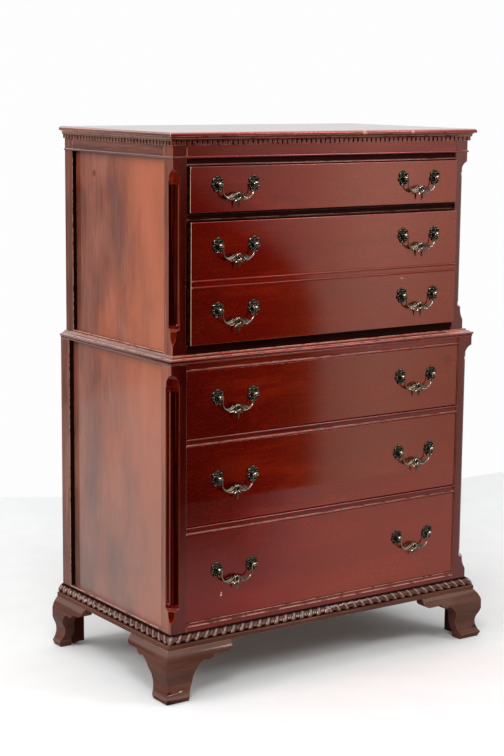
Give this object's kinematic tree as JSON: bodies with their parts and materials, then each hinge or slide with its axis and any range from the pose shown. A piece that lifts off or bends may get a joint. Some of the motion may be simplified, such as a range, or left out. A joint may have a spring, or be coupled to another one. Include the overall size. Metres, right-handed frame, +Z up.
{
  "type": "chest on chest",
  "caption": "Two-stage mahogany chest of drawers with fluted chamfered corners, a dentil cornice, a moulded waist, a gadrooned base, ogee bracket feet and swinging brass bail pulls",
  "frame": {"origin": "on the floor, under the middle of the overall outline", "axes": "+Z up, the drawer fronts face -Y, +X towards the right-hand end as one faces the fronts"},
  "size_m": [1.006, 0.571, 1.367],
  "materials": {
    "mahogany": "semi-gloss polish, aged",
    "secondary_wood": "unfinished, dry",
    "brass": "aged, dark in the hollows",
    "steel": "plain"
  },
  "bodies": {
    "case": {"top_board": "mahogany", "dentil_moulding": "mahogany", "astragal_moulding": "mahogany", "frieze_rails": "mahogany", "upper_front_posts": "mahogany", "upper_back_posts": "mahogany", "upper_side_panels": "mahogany", "upper_frame_rails": "mahogany", "upper_drawer_rails": "mahogany", "upper_runners": "secondary_wood", "upper_bottom_board": "secondary_wood", "upper_back_planks": "secondary_wood", "waist_moulding": "mahogany", "lower_top_board": "mahogany", "lower_front_posts": "mahogany", "lower_back_posts": "mahogany", "lower_side_panels": "mahogany", "lower_frame_rails": "mahogany", "lower_drawer_rails": "mahogany", "lower_runners": "secondary_wood", "lower_back_planks": "secondary_wood", "gadroon_moulding": "mahogany", "base_frame": "mahogany", "front_feet": "mahogany", "back_feet": "mahogany", "glue_blocks": "secondary_wood", "drawer_stops": "secondary_wood", "case_screws": "steel"},
    "drawer_1": {"drawer_1_front": "mahogany", "drawer_1_box": "secondary_wood", "drawer_1_bottom": "secondary_wood", "drawer_1_pull_mounts": "brass"},
    "bail_01": {"bail_01": "brass"},
    "bail_02": {"bail_02": "brass"},
    "drawer_2": {"drawer_2_front": "mahogany", "drawer_2_box": "secondary_wood", "drawer_2_bottom": "secondary_wood", "drawer_2_pull_mounts": "brass"},
    "bail_03": {"bail_03": "brass"},
    "bail_04": {"bail_04": "brass"},
    "bail_05": {"bail_05": "brass"},
    "bail_06": {"bail_06": "brass"},
    "drawer_3": {"drawer_3_front": "mahogany", "drawer_3_box": "secondary_wood", "drawer_3_bottom": "secondary_wood", "drawer_3_pull_mounts": "brass"},
    "bail_07": {"bail_07": "brass"},
    "bail_08": {"bail_08": "brass"},
    "drawer_4": {"drawer_4_front": "mahogany", "drawer_4_box": "secondary_wood", "drawer_4_bottom": "secondary_wood", "drawer_4_pull_mounts": "brass"},
    "bail_09": {"bail_09": "brass"},
    "bail_10": {"bail_10": "brass"},
    "drawer_5": {"drawer_5_front": "mahogany", "drawer_5_box": "secondary_wood", "drawer_5_bottom": "secondary_wood", "drawer_5_pull_mounts": "brass"},
    "bail_11": {"bail_11": "brass"},
    "bail_12": {"bail_12": "brass"}
  },
  "joints": [
    {"name": "drawer_1_slide", "type": "slide", "parent": "case", "child": "drawer_1", "axis": [0, -1, 0], "range_m": [-0.014, 0.36]},
    {"name": "bail_01_hinge", "type": "hinge", "parent": "drawer_1", "child": "bail_01", "pos_m": [-0.283, -0.2545, 1.245], "axis": [-1, 0, 0], "range_deg": [-9, 170]},
    {"name": "bail_02_hinge", "type": "hinge", "parent": "drawer_1", "child": "bail_02", "pos_m": [0.283, -0.2545, 1.245], "axis": [-1, 0, 0], "range_deg": [-9, 170]},
    {"name": "drawer_2_slide", "type": "slide", "parent": "case", "child": "drawer_2", "axis": [0, -1, 0], "range_m": [-0.018, 0.36]},
    {"name": "bail_03_hinge", "type": "hinge", "parent": "drawer_2", "child": "bail_03", "pos_m": [-0.283, -0.2585, 0.946], "axis": [-1, 0, 0], "range_deg": [-9, 170]},
    {"name": "bail_04_hinge", "type": "hinge", "parent": "drawer_2", "child": "bail_04", "pos_m": [0.283, -0.2585, 0.946], "axis": [-1, 0, 0], "range_deg": [-9, 170]},
    {"name": "bail_05_hinge", "type": "hinge", "parent": "drawer_2", "child": "bail_05", "pos_m": [-0.283, -0.2585, 1.1], "axis": [-1, 0, 0], "range_deg": [-9, 170]},
    {"name": "bail_06_hinge", "type": "hinge", "parent": "drawer_2", "child": "bail_06", "pos_m": [0.283, -0.2585, 1.1], "axis": [-1, 0, 0], "range_deg": [-9, 170]},
    {"name": "drawer_3_slide", "type": "slide", "parent": "case", "child": "drawer_3", "axis": [0, -1, 0], "range_m": [0, 0.36]},
    {"name": "bail_07_hinge", "type": "hinge", "parent": "drawer_3", "child": "bail_07", "pos_m": [-0.283, -0.2605, 0.735], "axis": [-1, 0, 0], "range_deg": [-9, 170]},
    {"name": "bail_08_hinge", "type": "hinge", "parent": "drawer_3", "child": "bail_08", "pos_m": [0.283, -0.2605, 0.735], "axis": [-1, 0, 0], "range_deg": [-9, 170]},
    {"name": "drawer_4_slide", "type": "slide", "parent": "case", "child": "drawer_4", "axis": [0, -1, 0], "range_m": [0, 0.36]},
    {"name": "bail_09_hinge", "type": "hinge", "parent": "drawer_4", "child": "bail_09", "pos_m": [-0.283, -0.2605, 0.535], "axis": [-1, 0, 0], "range_deg": [-9, 170]},
    {"name": "bail_10_hinge", "type": "hinge", "parent": "drawer_4", "child": "bail_10", "pos_m": [0.283, -0.2605, 0.535], "axis": [-1, 0, 0], "range_deg": [-9, 170]},
    {"name": "drawer_5_slide", "type": "slide", "parent": "case", "child": "drawer_5", "axis": [0, -1, 0], "range_m": [0, 0.36]},
    {"name": "bail_11_hinge", "type": "hinge", "parent": "drawer_5", "child": "bail_11", "pos_m": [-0.283, -0.2605, 0.307], "axis": [-1, 0, 0], "range_deg": [-9, 170]},
    {"name": "bail_12_hinge", "type": "hinge", "parent": "drawer_5", "child": "bail_12", "pos_m": [0.283, -0.2605, 0.307], "axis": [-1, 0, 0], "range_deg": [-9, 170]}
  ]
}
